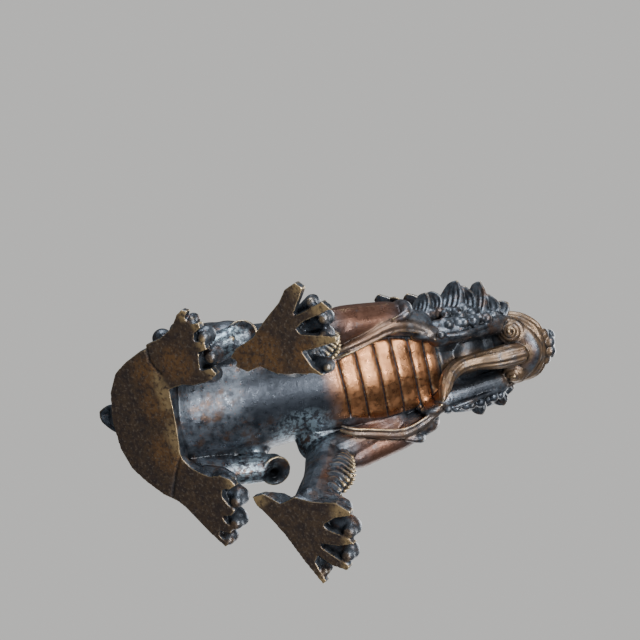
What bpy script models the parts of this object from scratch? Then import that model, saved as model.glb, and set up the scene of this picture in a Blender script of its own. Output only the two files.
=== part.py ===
"""Seated qilin, one bronze casting, with its head thrust forward and its feet spread.

The figure is modelled upright on its worn soles. Every place is given as (across, forward, up)
in shares of the figure's height, HEIGHT_SHARES to the whole height, and the left side mirrors
the right apart from the toes.
"""
import math

import bmesh
import bpy
from mathutils import Vector

HEIGHT = 0.165
HEIGHT_SHARES = 150.0
SHARE = HEIGHT / HEIGHT_SHARES
MIDDLE_FORWARD = -47.3

CLAY_GRAIN = 0.85
SOLID_TRIANGLES = 9300
GROUND_DEPTH = 30.0

RUMP_OUTLINE = [(0, -115), (12, -113.5), (21, -109), (26, -103), (31, -95), (33, -89), (24, -84), (0, -83)]
RUMP_WALL = 9.0

TORSO = [
    ((0, -93, 25), (26, 22, 25)),
    ((0, -84, 34), (26.5, 23, 24)),
    ((0, -74, 45), (27, 23.5, 23.5)),
    ((0, -62, 56), (25.5, 24.5, 24.5)),
    ((0, -50, 67), (24, 25, 25)),
    ((0, -38, 78), (22, 25, 25)),
    ((0, -26, 88), (19.5, 22, 22)),
    ((0, -14, 98), (17.5, 18.5, 18.5)),
    ((0, -2, 109), (16.5, 16.5, 16.5)),
]

CHEST_SIDES = [
    ((11, -56, 61), (14.5, 22, 22)),
    ((11, -45, 71), (13, 23, 23)),
    ((11, -35, 80), (12, 22.5, 22.5)),
    ((10, -25, 88), (11.5, 20.5, 20.5)),
    ((8.5, -14, 97), (11, 17.5, 17.5)),
]
THROAT = ((0, 2, 97), (14.5, 11, 12.5))

SCUTE_LINES = [(-34.7, 51.3), (-27.7, 54.9), (-21.7, 60.5), (-16.5, 66.0), (-10.8, 70.5), (-6.3, 74.8)]
SCUTE_GROOVE = 1.0
SCUTE_DEPTH = 0.9
SCUTE_SKEW = 0.14

RIBBON = [(17.5, -35, 46.5), (18.6, -31.5, 49.5), (20.2, -27, 54), (22, -22.5, 58.6), (23.4, -19, 62.6),
          (23.6, -15.3, 66.4), (22, -11.4, 71), (19.6, -7.5, 74.2), (16.6, -3.5, 76)]
RIBBON_RADIUS = 2.3

THIGH = [((16, -88, 38), 14), ((20, -76, 37), 12.5), ((26, -64, 33), 9.5)]
SHIN = [((24, -89, 8), 8), ((27, -76, 19), 7), ((30.5, -62, 29), 7.6)]
KNEE = [((30.5, -64, 29), 7.6), ((31, -60, 30.5), 7.2)]
HOCK_CURL = ((35, -88, 8), 4)
HIND_SOLE = [(14, -85), (18.5, -74), (20, -66), (31, -65), (43, -68), (49.5, -70), (44, -77), (35, -86),
             (30, -92)]
HIND_SOLE_WALL = 8.0
HIND_TOES = [
    ((20, -73, 6), (21.5, -66, 4.5), 4.4),
    ((27, -74, 7), (29.5, -64.5, 6), 5.4),
    ((35, -76, 7), (37.8, -66.5, 6), 5.0),
    ((41, -77, 4), (46, -71, 4), 3.8),
]

FORELEG = [((31, -29, 7), 8.5), ((29, -34, 23), 7.6), ((27.5, -42, 42), 8.2), ((26, -33, 56), 8.0),
           ((23.5, -24, 71), 7.8)]
ELBOW = [((24, -49, 47), 8.0), ((22, -44, 57), 9.0)]
SHOULDER = [((24.5, -33, 57), (8.6, 12, 12.5)), ((22.5, -23, 70), (8.2, 10.5, 11.5))]
SHOULDER_CURL = [(25, -25, 75), (27.5, -20, 78.5), (28.5, -14.5, 74.5), (27.5, -11, 68), (26, -15, 64)]
FRINGE_RIDGES = 7
FRINGE_LOW = (34, -24, 12)
FRINGE_HIGH = (31, -33, 47)

TOE_HEIGHT = 13.5
PAW_WALL = 8.5
PAW_OUTLINE = [(25, -47), (27.4, -52.4), (30.3, -51), (34.3, -46.5), (41, -40), (50, -34), (55, -29),
               (47, -24), (36, -20), (25, -18), (25, -26), (24.5, -33), (27.5, -40)]
PAW_TOES = {
    1: [((27, -26, 7), (28, -14, 4), 4.2), ((36, -27, 8), (40, -14.5, 4.6), 4.6),
        ((43, -30, 8), (50.4, -17.5, 4.4), 4.4), ((48, -34, 6), (57, -27.5, 3.6), 3.8)],
    -1: [((27, -27, 7), (27, -18, 4), 4.2), ((35.5, -27, 8), (38.6, -11.5, 4.6), 4.6),
         ((43, -31, 8), (51.4, -13.5, 4.4), 4.4), ((48, -36, 6), (57.2, -24.5, 3.8), 3.8)],
}

SKULL = [
    ((0, 6, 114), (11.5, 17, 10)),
    ((0, -4, 119), (11.5, 15, 12)),
    ((0, 19, 112.5), (8, 12, 7)),
    ((0, 26, 113), (7, 6, 5.6)),
]
JAW = [
    ((0, 14, 106.5), (14.5, 17, 5.5)),
    ((0, 22.5, 107), (9.5, 9, 4.6)),
]
LIP = [(13.5, 10, 108), (13.8, 19, 108.5), (11.8, 25.5, 109), (7, 30, 109.5), (0, 32, 110)]
UPPER_LIP = [(12, 9, 112.5), (11, 18, 113), (9.3, 25, 113.5), (5.5, 30, 114.5), (0, 31.5, 115.5)]
NOSTRIL = ((3.6, 29.5, 117), 2.8)
EYE = ((6.8, 14, 117.5), 3.2)
BROW = [(2.4, 21, 118), (5.8, 17.5, 120.5), (7.2, 11, 121.5), (8, 4, 124.5), (7.5, -3, 129.5)]
HORN = [((4, 2, 125), 3.9), ((4.5, -7, 133), 3.5), ((5.5, -17, 139.5), 2.9), ((6.5, -27, 143), 2.1),
        ((7, -35, 148), 1.4)]
EAR = ((10, -4, 121), (19, -14, 127), 4.2)
CHEEK = ((12.5, 5, 109), (4, 9, 6))

CHIN_CURL = ((9.3, 19.5, 103), 5.2)
BEARD = [((0, 29, 105), 4.4), ((0, 23, 101.5), 4.8), ((0, 16, 96), 4.6), ((0, 9, 91), 4.0),
         ((0.6, 3, 85.5), 3.5), ((2.5, 0.5, 79), 3.3), ((6, 0.5, 73), 2.8), ((9, 1.5, 68), 1.6)]
ROPE = [(16.3, 0, 75.5), (16.2, 5, 80.5), (15.6, 10, 87), (15.4, 15, 94), (15, 20, 101)]
ROPE_RADIUS = 1.7
RUFF = [((14.5, -3.5, 82), 6.6), ((14, 1.5, 88.6), 6.6), ((13.5, 6.5, 95.2), 6.6), ((13, 11.5, 101), 6.2)]

MANE = [
    ((20, -22, 82), (29, -22, 83), 4.2),
    ((19, -14, 86), (26.5, -17, 94), 4.8),
    ((19, -9, 88), (27, -13, 98.5), 4.8),
    ((18, -3, 90), (29, -7, 103), 6.0),
    ((17, 3, 93), (28.5, 0.5, 102.5), 5.0),
    ((16.5, 7, 96), (28, 2.5, 107), 5.0),
    ((16, 11, 99), (24.5, 10, 104.5), 5.0),
    ((15, 13, 103), (21, 14.5, 107.5), 4.2),
]
MANE_CURLS = [((18.5, -2, 84), 3.2), ((18.5, 3.5, 86), 3.0), ((18, 8.5, 90), 3.2), ((17.5, 12.5, 95), 3.0),
              ((20.5, -6, 90), 3.2), ((20.5, 0, 92), 3.0), ((19.5, 6, 95), 3.0)]
BACK_MANE_ROWS = [(-11, 128, 19), (-20, 121, 22), (-30, 113, 24)]
BACK_MANE_LOCKS = 7

TAIL = [((2, -117, 13), 7.5), ((3, -119, 24), 8), ((2, -114, 38), 8), ((0, -104.5, 53), 7.5),
        ((-1, -94, 67), 6.5)]
TAIL_LOCKS = [
    ((4, -119, 10), (5, -128, 9.5), 5.8),
    ((8, -116, 30), (17, -118, 40), 5.0),
    ((-6, -117, 32), (-15, -118, 43), 5.0),
    ((6, -108, 47), (16, -106, 60), 5.0),
    ((-6, -108, 48), (-15, -105, 62), 5.0),
    ((3, -95, 63), (9, -92, 80), 5.0),
    ((-4, -95, 63), (-7, -90, 83), 5.0),
    ((0, -94, 67), (0, -96, 87), 4.6),
]
SPINE_START = (-92, 68)
SPINE_END = (-38, 107)
SPINE_FLAMES = 7


def place(across, forward, up):
    """The point of the frame, in metres, for a place in shares of the height."""
    return Vector((across, MIDDLE_FORWARD - forward, up)) * SHARE


class Clay:
    """Closed primitives gathered before they are fused into one skin."""

    def __init__(self):
        self.points = []
        self.faces = []

    def add(self, form, move):
        """Adds a copy of a primitive, moved by a function of its points."""
        points, faces = form
        first = len(self.points)
        self.points.extend(move(point) for point in points)
        self.faces.extend([first + corner for corner in face] for face in faces)

    def mesh(self):
        """All the primitives as one mesh."""
        mesh = bpy.data.meshes.new("clay")
        mesh.from_pydata(self.points, [], self.faces)
        return mesh


def primitive(maker, **sizes):
    """The points and faces of one bmesh primitive."""
    grown = bmesh.new()
    maker(grown, **sizes)
    grown.verts.index_update()
    points = [vert.co.copy() for vert in grown.verts]
    form = (points, [[v.index for v in face.verts] for face in grown.faces])
    grown.free()
    return form


BALL = primitive(bmesh.ops.create_icosphere, subdivisions=3, radius=1.0)
ROD = primitive(bmesh.ops.create_cone, cap_ends=True, segments=20, radius1=1.0, radius2=1.0, depth=1.0)


def ball(clay, centre, radii):
    """Adds an ellipsoid with its axes along the frame's."""
    middle = place(*centre)
    clay.add(BALL, lambda p: middle + Vector((p.x * radii[0], p.y * radii[1], p.z * radii[2])) * SHARE)


def bone(clay, first, first_radius, second, second_radius):
    """Adds a closed taper between two places, round at both ends."""
    start = place(*first)
    end = place(*second)
    along = end - start
    turn = along.to_track_quat("Z", "Y").to_matrix()

    def move(point):
        radius = (first_radius if point.z < 0 else second_radius) * SHARE
        local = Vector((point.x * radius, point.y * radius, point.z * along.length))
        return (start + end) / 2 + turn @ local

    clay.add(ROD, move)
    ball(clay, first, (first_radius,) * 3)
    ball(clay, second, (second_radius,) * 3)


def limb(clay, stations):
    """Adds bones through a list of (place, radius)."""
    for (first, first_radius), (second, second_radius) in zip(stations, stations[1:]):
        bone(clay, first, first_radius, second, second_radius)


def lock(clay, root, tip, radius, lift=0.18):
    """Adds a pointed flame lock that bows upward between its root and its tip."""
    steps = 6
    length = math.dist(root, tip)
    stations = []
    for step in range(steps + 1):
        share = step / steps
        bow = math.sin(math.pi * share) * length * lift
        spot = [a + (b - a) * share for a, b in zip(root, tip)]
        spot[2] += bow
        stations.append((tuple(spot), radius * (1.0 - 0.78 * share ** 1.6)))
    limb(clay, stations)


def slab(clay, outline, wall, inset):
    """Adds a prism over an outline on the ground, with its top edge drawn in."""
    count = len(outline)
    middle_across = sum(spot[0] for spot in outline) / count
    middle_forward = sum(spot[1] for spot in outline) / count
    grown = bmesh.new()
    rings = []
    for level, draw in ((-4.0, 0.0), (wall * 0.45, 0.0), (wall, inset)):
        ring = []
        for across, forward in outline:
            drawn_across = across + (middle_across - across) * draw
            drawn_forward = forward + (middle_forward - forward) * draw
            ring.append(grown.verts.new(place(drawn_across, drawn_forward, level)))
        rings.append(ring)
    grown.faces.new(rings[0])
    grown.faces.new(rings[-1])
    for low, high in zip(rings, rings[1:]):
        for index in range(count):
            after = (index + 1) % count
            grown.faces.new((low[index], low[after], high[after], high[index]))
    bmesh.ops.recalc_face_normals(grown, faces=grown.faces)
    bmesh.ops.triangulate(grown, faces=grown.faces)
    grown.verts.index_update()
    points = [vert.co.copy() for vert in grown.verts]
    form = (points, [[v.index for v in face.verts] for face in grown.faces])
    grown.free()
    clay.add(form, lambda point: point)


def sided(spot, side):
    """The same place on the left (side 1) or on the right (side -1)."""
    return (spot[0] * side, spot[1], spot[2])


def add_trunk(clay):
    """Rump, belly, chest and neck, and the curved border of the chest."""
    left = [(across, forward) for across, forward in RUMP_OUTLINE]
    right = [(-across, forward) for across, forward in reversed(RUMP_OUTLINE[1:-1])]
    slab(clay, left + right, RUMP_WALL, 0.12)
    for centre, radii in TORSO:
        ball(clay, centre, radii)
    ball(clay, *THROAT)
    for side in (1, -1):
        for centre, radii in CHEST_SIDES:
            ball(clay, sided(centre, side), radii)
        limb(clay, [(sided(spot, side), RIBBON_RADIUS) for spot in RIBBON])


def add_toe(clay, root, tip, radius):
    """A toe on the ground from its root to its tip, with an upright rounded front."""
    crest = min(TOE_HEIGHT, root[2] + 5.5) - radius
    knuckle = (root[0] + (tip[0] - root[0]) * 0.65, root[1] + (tip[1] - root[1]) * 0.65, crest)
    low_root = (root[0], root[1], 1.0)
    low_tip = (tip[0], tip[1], 1.0)
    limb(clay, [(root, radius), (knuckle, radius), (low_tip, radius * 0.66), (low_root, radius * 0.8)])
    limb(clay, [(tip, radius * 0.92), (knuckle, radius)])


def add_hind_leg(clay, side):
    """Folded hind leg with its flat foot and four toes."""
    for stations in (THIGH, SHIN, KNEE):
        limb(clay, [(sided(spot, side), radius) for spot, radius in stations])
    ball(clay, sided(HOCK_CURL[0], side), (HOCK_CURL[1],) * 3)
    slab(clay, [(across * side, forward) for across, forward in HIND_SOLE], HIND_SOLE_WALL, 0.25)
    for root, tip, radius in HIND_TOES:
        add_toe(clay, sided(root, side), sided(tip, side), radius)


def add_foreleg(clay, side):
    """Foreleg with its shoulder, the curl on it and the ribbed tuft above the paw."""
    for stations in (FORELEG, ELBOW):
        limb(clay, [(sided(spot, side), radius) for spot, radius in stations])
    for centre, radii in SHOULDER:
        ball(clay, sided(centre, side), radii)
    limb(clay, [(sided(spot, side), 2.6) for spot in SHOULDER_CURL])
    for ridge in range(FRINGE_RIDGES):
        share = ridge / (FRINGE_RIDGES - 1)
        low = [a + (b - a) * share for a, b in zip(FRINGE_LOW, FRINGE_HIGH)]
        spread = math.sin(math.pi * (0.15 + 0.75 * share))
        root = (low[0] - 1.0, low[1] - 6.5, low[2] - 2.0)
        tip = (low[0] + 2.0, low[1] + 2.5 * spread, low[2] + 4.0)
        bone(clay, sided(root, side), 2.6, sided(tip, side), 1.5 + 0.8 * spread)


def add_paw(clay, side):
    """Flat paw with a pointed heel and four long toes."""
    slab(clay, [(across * side, forward) for across, forward in PAW_OUTLINE], PAW_WALL, 0.3)
    for root, tip, radius in PAW_TOES[side]:
        add_toe(clay, sided(root, side), sided(tip, side), radius)


def add_head(clay):
    """Wide jaw under a narrow sloping head, with horns laid back."""
    for centre, radii in SKULL + JAW:
        ball(clay, centre, radii)
    for side in (1, -1):
        limb(clay, [(sided(spot, side), 2.1) for spot in LIP])
        limb(clay, [(sided(spot, side), 1.9) for spot in UPPER_LIP])
        limb(clay, [(sided(spot, side), 2.0) for spot in BROW])
        limb(clay, [(sided(spot, side), radius) for spot, radius in HORN])
        lock(clay, sided(EAR[0], side), sided(EAR[1], side), EAR[2])
        ball(clay, sided(CHEEK[0], side), CHEEK[1])
        for centre, radius in (NOSTRIL, EYE, CHIN_CURL):
            ball(clay, sided(centre, side), (radius,) * 3)
    limb(clay, BEARD)


def add_mane(clay):
    """Flame locks beside and behind the neck, and the cord that edges them."""
    for side in (1, -1):
        limb(clay, [(sided(spot, side), ROPE_RADIUS) for spot in ROPE])
        limb(clay, [(sided(spot, side), radius) for spot, radius in RUFF])
        for root, tip, radius in MANE:
            lock(clay, sided(root, side), sided(tip, side), radius)
        for centre, radius in MANE_CURLS:
            ball(clay, sided(centre, side), (radius,) * 3)
    for forward, up, reach in BACK_MANE_ROWS:
        for index in range(BACK_MANE_LOCKS):
            angle = math.radians(-75 + 150 * index / (BACK_MANE_LOCKS - 1))
            out = (math.sin(angle), -math.cos(angle) * 0.7)
            root = (out[0] * reach * 0.5, forward + 4 + out[1] * 4, up - 8 - 6 * abs(out[0]))
            tip = (out[0] * reach, forward - 8 + out[1] * 8, up - 2 - 14 * abs(out[0]))
            lock(clay, root, tip, 4.6)


def add_back(clay):
    """Row of small flames along the spine, and the tail laid up the back."""
    for index in range(SPINE_FLAMES):
        share = index / (SPINE_FLAMES - 1)
        forward = SPINE_START[0] + (SPINE_END[0] - SPINE_START[0]) * share
        up = SPINE_START[1] + (SPINE_END[1] - SPINE_START[1]) * share
        lock(clay, (0, forward + 4, up - 6), (0, forward - 7, up + 4), 3.6)
    limb(clay, TAIL)
    for root, tip, radius in TAIL_LOCKS:
        lock(clay, root, tip, radius)


def carve_scutes(mesh):
    """Sinks a groove across the chest at each scute line."""
    start = Vector(SCUTE_LINES[0])
    along = (Vector(SCUTE_LINES[-1]) - start).normalized()
    outward = Vector((along.y, -along.x))
    marks = [(Vector(line) - start).dot(along) for line in SCUTE_LINES]
    marks.append(marks[-1] + 5.5)
    for vertex in mesh.vertices:
        spot = vertex.co / SHARE
        forward = MIDDLE_FORWARD - spot.y
        across = spot.x
        if abs(across) > 22:
            continue
        offset = Vector((forward - SCUTE_SKEW * across, spot.z)) - start
        height = offset.dot(outward)
        travel = offset.dot(along)
        if height < -9 or height > 9 or travel < -3 or travel > marks[-1] + 3:
            continue
        edge = 17.0 + 4.6 * math.sin(math.pi * min(max(travel / 40.0, 0.0), 1.0))
        if abs(across) > edge - 1.5:
            continue
        gap = min(abs(travel - mark) for mark in marks)
        if gap < SCUTE_GROOVE:
            depth = SCUTE_DEPTH * (1.0 - gap / SCUTE_GROOVE)
            vertex.co -= Vector((0.0, -outward.x, outward.y)) * depth * SHARE


def grown_mesh(thing):
    """The mesh of an object after its modifiers."""
    graph = bpy.context.evaluated_depsgraph_get()
    graph.update()
    return bpy.data.meshes.new_from_object(thing.evaluated_get(graph))


def bronze():
    """Worn brown bronze."""
    material = bpy.data.materials.new("bronze")
    material.use_nodes = True
    shader = material.node_tree.nodes["Principled BSDF"]
    shader.inputs["Base Color"].default_value = (0.16, 0.105, 0.062, 1.0)
    shader.inputs["Metallic"].default_value = 0.85
    shader.inputs["Roughness"].default_value = 0.42
    return material


def ground_cutter(folder):
    """The block under the soles, which cuts them flat at the ground."""
    mesh = bpy.data.meshes.new("ground_cutter")
    block = bmesh.new()
    bmesh.ops.create_cube(block, size=1.0)
    bmesh.ops.scale(block, verts=block.verts, vec=Vector((300, 300, GROUND_DEPTH)) * SHARE)
    bmesh.ops.translate(block, verts=block.verts, vec=(0, 0, -GROUND_DEPTH / 2 * SHARE))
    block.to_mesh(mesh)
    block.free()
    cutter = bpy.data.objects.new("ground_cutter", mesh)
    cutter.hide_render = True
    cutter.display_type = "WIRE"
    folder.objects.link(cutter)
    return cutter


def build():
    """The casting, from clay forms to the closed solid."""
    for thing in list(bpy.data.objects):
        bpy.data.objects.remove(thing)
    scene = bpy.context.scene
    figure = bpy.data.collections.new("qilin_statue")
    cutters = bpy.data.collections.new("cutters")
    scene.collection.children.link(figure)
    scene.collection.children.link(cutters)

    clay = Clay()
    add_trunk(clay)
    for side in (1, -1):
        add_hind_leg(clay, side)
        add_foreleg(clay, side)
        add_paw(clay, side)
    add_head(clay)
    add_mane(clay)
    add_back(clay)
    model = bpy.data.objects.new("clay", clay.mesh())
    cutters.objects.link(model)

    skin = model.modifiers.new("skin", "REMESH")
    skin.mode = "VOXEL"
    skin.voxel_size = CLAY_GRAIN * SHARE
    soften = model.modifiers.new("soften", "SMOOTH")
    soften.factor = 0.5
    soften.iterations = 3
    cast = grown_mesh(model)
    bpy.data.objects.remove(model)
    carve_scutes(cast)
    cast.name = "qilin"

    statue = bpy.data.objects.new("qilin", cast)
    figure.objects.link(statue)
    cast.materials.clear()
    cast.materials.append(bronze())
    triangles = sum(len(face.vertices) - 2 for face in cast.polygons)
    thin = statue.modifiers.new("thin", "DECIMATE")
    thin.ratio = SOLID_TRIANGLES / triangles
    thin.use_collapse_triangulate = True
    flat = statue.modifiers.new("flat_soles", "BOOLEAN")
    flat.operation = "DIFFERENCE"
    flat.solver = "EXACT"
    flat.object = ground_cutter(cutters)
    return statue


build()
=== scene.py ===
# %% [markdown]
# # A seated qilin in old bronze
# The qilin is a mythical beast with a dragon's head, a flame mane and clawed feet. This one is a single
# bronze casting. It was once a solid shape in wax, so we work as the wax carver did: soft forms are pressed
# together, fused into one skin, and the fine lines are cut into that skin at the end.

# %% The frame of the part
import math

import bmesh
import bpy
import numpy as np
from mathutils import Matrix, Vector, noise


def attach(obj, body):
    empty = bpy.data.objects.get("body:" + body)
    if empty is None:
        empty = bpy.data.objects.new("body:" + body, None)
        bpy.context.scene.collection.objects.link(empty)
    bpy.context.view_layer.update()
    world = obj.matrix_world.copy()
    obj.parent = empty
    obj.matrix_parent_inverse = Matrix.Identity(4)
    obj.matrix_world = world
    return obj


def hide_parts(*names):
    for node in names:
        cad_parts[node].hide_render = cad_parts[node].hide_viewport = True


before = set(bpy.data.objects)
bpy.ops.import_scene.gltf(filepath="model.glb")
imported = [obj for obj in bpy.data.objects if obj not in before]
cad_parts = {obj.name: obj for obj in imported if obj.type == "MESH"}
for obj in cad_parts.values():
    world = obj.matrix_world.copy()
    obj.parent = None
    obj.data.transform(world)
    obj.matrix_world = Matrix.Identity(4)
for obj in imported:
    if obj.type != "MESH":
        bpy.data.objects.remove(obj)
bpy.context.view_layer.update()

# %% [markdown]
# ## Measures
# All places are given as across, forward and up, in shares of the figure's height: 150 shares from the soles
# to the tips of the horns. A place on the left mirrors to the right by a change of sign, because the casting
# is nearly symmetric.

# %% Shares and places
HEIGHT = 0.165
SHARE = HEIGHT / 150.0
MIDDLE_FORWARD = -47.3


def place(across, forward, up):
    """A place in shares as a point in metres."""
    return Vector((across, MIDDLE_FORWARD - forward, up)) * SHARE


def sided(spot, side):
    """The same place on the left (side 1) or on the right (side -1)."""
    return (spot[0] * side, *spot[1:])


def all_sided(spots, side):
    """The same for every place of a path or an outline."""
    return [sided(spot, side) for spot in spots]


def stations_sided(stations, side):
    """The same for every (place, radius) of a limb."""
    return [(sided(spot, side), radius) for spot, radius in stations]


print("one share is", round(SHARE * 1000, 3), "mm")

# %% [markdown]
# ## The camera
# The figure is looked at from below its soles, from the front and from its right, so the flat feet, the belly
# and the chest fill the view. The camera is placed by its own right, up and backward directions: that is
# clearer than three angles when the view is this steep.

# %% Camera
CAMERA_PLACE = (-172.8, 191.1, -351.1)
VIEW_DIRECTION = Vector((0.2952, 0.4788, 0.8268)).normalized()
VIEW_UP = Vector((-0.9481, 0.0393, 0.3157)).normalized()
LENS = 67.5

lens = bpy.data.cameras.new("photographer")
lens.lens = LENS
lens.sensor_width = 36.0
lens.clip_start = 0.01
camera = bpy.data.objects.new("photographer", lens)
view_right = VIEW_DIRECTION.cross(VIEW_UP)
turn = Matrix((view_right, VIEW_UP, -VIEW_DIRECTION)).transposed().to_4x4()
camera.matrix_world = Matrix.Translation(place(*CAMERA_PLACE)) @ turn
bpy.context.scene.collection.objects.link(camera)
bpy.context.scene.camera = camera
print("camera at", [round(value, 3) for value in camera.location])

# %% [markdown]
# ## Pressing forms into the clay
# Each form is a small bmesh of its own, made by one operator. It is cut off at the ground, so that the soles
# come out flat, and then joined to the clay. Working in small meshes keeps every operator quick.

# %% Clay helpers
BALL_FINENESS = 3
BIG_RADIUS = 9.0
ROD_SIDES = 18
UPRIGHT_SHARE = 0.45
DRAWN_SHARE = 0.55


def only(parts, kind):
    """The vertices, edges or faces in a mixed list."""
    return [part for part in parts if isinstance(part, kind)]


def base_face(form, outline):
    """A face over an outline on the ground."""
    return form.faces.new([form.verts.new(place(across, forward, 0.0)) for across, forward in outline])


def press(clay, form):
    """Cuts a form off at the ground, joins it to the clay and frees it."""
    if min(vert.co.z for vert in form.verts) < 0.0:
        everything = form.verts[:] + form.edges[:] + form.faces[:]
        cut = bmesh.ops.bisect_plane(form, geom=everything, dist=1e-7, plane_co=(0, 0, 0),
                                     plane_no=(0, 0, 1), clear_inner=True)
        bmesh.ops.holes_fill(form, edges=only(cut["geom_cut"], bmesh.types.BMEdge))
    mesh = bpy.data.meshes.new("form")
    form.to_mesh(mesh)
    form.free()
    clay.from_mesh(mesh)
    bpy.data.meshes.remove(mesh)


def ball(clay, centre, radii):
    """An ellipsoid with its axes along the frame's."""
    form = bmesh.new()
    size = Matrix.Diagonal(Vector((radii[0], radii[1], radii[2], 1.0 / SHARE)) * SHARE)
    fineness = BALL_FINENESS + (1 if max(radii) > BIG_RADIUS else 0)
    bmesh.ops.create_icosphere(form, subdivisions=fineness, radius=1.0,
                               matrix=Matrix.Translation(place(*centre)) @ size)
    press(clay, form)


def bone(clay, first, first_radius, second, second_radius):
    """A taper between two places."""
    start = place(*first)
    end = place(*second)
    along = end - start
    if along.length < 1e-7:
        return
    form = bmesh.new()
    spin = along.to_track_quat("Z", "Y").to_matrix().to_4x4()
    bmesh.ops.create_cone(form, cap_ends=True, segments=ROD_SIDES, radius1=first_radius * SHARE,
                          radius2=second_radius * SHARE, depth=along.length,
                          matrix=Matrix.Translation((start + end) / 2) @ spin)
    press(clay, form)


def limb(clay, stations, capped=True):
    """Bones through a list of (place, radius), with a ball at every joint."""
    for (first, first_radius), (second, second_radius) in zip(stations, stations[1:]):
        bone(clay, first, first_radius, second, second_radius)
    shown = stations if capped else stations[:-1]
    for spot, radius in shown:
        ball(clay, spot, (radius, radius, radius))


def sweep(clay, stations, steps=5):
    """Closely spaced ellipsoids between the given ones, so that their union has no waves."""
    for (first, first_radii), (second, second_radii) in zip(stations, stations[1:]):
        for step in range(steps):
            share = step / steps
            centre = [a + (b - a) * share for a, b in zip(first, second)]
            radii = [a + (b - a) * share for a, b in zip(first_radii, second_radii)]
            ball(clay, centre, radii)
    ball(clay, *stations[-1])


def flowing(spots, steps):
    """More places on a smooth curve through the given ones."""
    points = [np.array(spot, dtype=float) for spot in spots]
    points = [2 * points[0] - points[1]] + points + [2 * points[-1] - points[-2]]
    path = []
    for index in range(1, len(points) - 2):
        before, here, after, beyond = points[index - 1:index + 3]
        for step in range(steps):
            t = step / steps
            path.append(0.5 * (2 * here + (after - before) * t
                               + (2 * before - 5 * here + 4 * after - beyond) * t ** 2
                               + (3 * here - before - 3 * after + beyond) * t ** 3))
    path.append(points[-2])
    return path


def strand(clay, spots, radii, steps=3):
    """A smooth cord through the places; its radius runs evenly through the given radii."""
    path = flowing(spots, steps)
    along = np.linspace(0, len(radii) - 1, len(path))
    widths = np.interp(along, range(len(radii)), radii)
    limb(clay, [(tuple(spot), width) for spot, width in zip(path, widths)])


def plate(clay, outline, height):
    """A thin plate with upright walls over an outline on the ground."""
    form = bmesh.new()
    raised = bmesh.ops.extrude_face_region(form, geom=[base_face(form, outline)])["geom"]
    bmesh.ops.translate(form, verts=only(raised, bmesh.types.BMVert), vec=(0, 0, height * SHARE))
    bmesh.ops.triangulate(form, faces=form.faces[:])
    bmesh.ops.recalc_face_normals(form, faces=form.faces[:])
    press(clay, form)


def slab(clay, outline, wall, draw):
    """A block over an outline on the ground, with its top edge drawn in."""
    form = bmesh.new()
    low = bmesh.ops.extrude_face_region(form, geom=[base_face(form, outline)])["geom"]
    middle = only(low, bmesh.types.BMVert)
    bmesh.ops.translate(form, verts=middle, vec=(0, 0, wall * UPRIGHT_SHARE * SHARE))
    top = only(low, bmesh.types.BMFace)
    high = bmesh.ops.extrude_face_region(form, geom=top)["geom"]
    bmesh.ops.delete(form, geom=top, context="FACES")
    rim = only(high, bmesh.types.BMVert)
    centre = sum((vert.co for vert in rim), Vector()) / len(rim)
    bmesh.ops.scale(form, verts=rim, vec=(1 - draw, 1 - draw, 1), space=Matrix.Translation(-centre))
    bmesh.ops.translate(form, verts=rim, vec=(0, 0, wall * DRAWN_SHARE * SHARE))
    bmesh.ops.recalc_face_normals(form, faces=form.faces)
    press(clay, form)


print("helpers: press, ball, bone, limb, sweep, strand, plate, slab")

# %% [markdown]
# ## Rump, belly, chest and neck
# The trunk is a sweep of fat ellipsoids that climbs from the flat rump to the neck, so close together that
# their union has no waves. The chest is framed on both sides by a raised ribbon with a thin bright cord along
# its inner edge.

# %% Trunk
RUMP_OUTLINE = [(0, -115), (12, -113.5), (21, -109), (26, -103), (31, -95), (33, -89), (24, -84), (0, -83)]
TORSO = [
    ((0, -93, 25), (26, 22, 25)), ((0, -84, 34), (26.5, 23, 24)), ((0, -74, 45), (27, 23.5, 23.5)),
    ((0, -62, 56), (25.5, 24.5, 24.5)), ((0, -50, 67), (24, 25, 25)), ((0, -38, 78), (22, 25, 25)),
    ((0, -26, 88), (19.5, 22, 22)), ((0, -14, 98), (17.5, 18.5, 18.5)), ((0, -2, 109), (16.5, 16.5, 16.5)),
]
CHEST_SIDES = [
    ((11, -56, 61), (14.5, 22, 22)), ((11, -45, 71), (13, 23, 23)), ((11, -35, 80), (12, 22.5, 22.5)),
    ((10, -25, 88), (11.5, 20.5, 20.5)), ((8.5, -14, 97), (11, 17.5, 17.5)),
]
THROAT = ((0, -1, 98), (14, 10.5, 12))
RIBBON_BED = ((16.5, -8, 77.5), (3.5, 6.5, 6.5))
RIBBON = [(16.8, -36.0, 46.4), (18.6, -30.6, 48.2), (20.2, -26, 52.8), (22, -21.6, 57.2), (23.4, -18, 61.2),
          (23.6, -14.4, 65.2), (22, -10.6, 70), (19.6, -7, 73.4), (16.8, -3.5, 75.6)]
RIBBON_WIDTHS = (0.7, 1.7, 2.0, 2.0, 1.5)
CORD_INSET = 2.3
CORD_WIDTHS = (0.6, 0.75, 0.75, 0.7)
RUMP_WALL = 9.0
RUMP_DRAW = 0.12
CLOSE_STEPS = 8


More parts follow.
